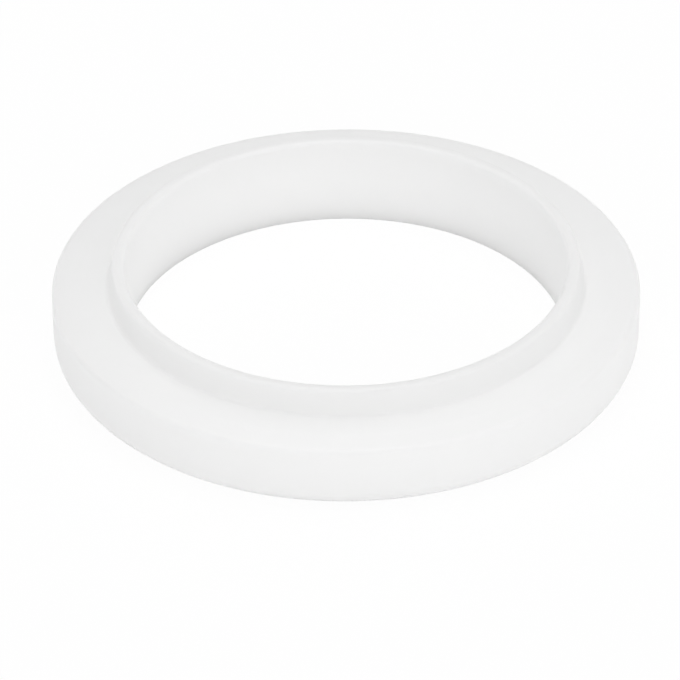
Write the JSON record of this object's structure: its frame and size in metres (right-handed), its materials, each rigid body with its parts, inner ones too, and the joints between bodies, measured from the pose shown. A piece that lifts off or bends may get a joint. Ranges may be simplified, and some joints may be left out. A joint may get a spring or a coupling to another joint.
{
  "type": "espresso group head gasket",
  "caption": "Moulded silicone sealing ring with a raised tapered collar, pressed into the groove of an espresso group head.",
  "frame": {"origin": "on the ring's axis, at its underside", "axes": "+Z along the ring's axis, from the flat underside towards the collar"},
  "size_m": [0.072, 0.072, 0.0117],
  "materials": {
    "silicone": "milky white translucent silicone, satin moulded surface"
  },
  "bodies": {
    "root": {"gasket_ring": "silicone"}
  },
  "joints": []
}
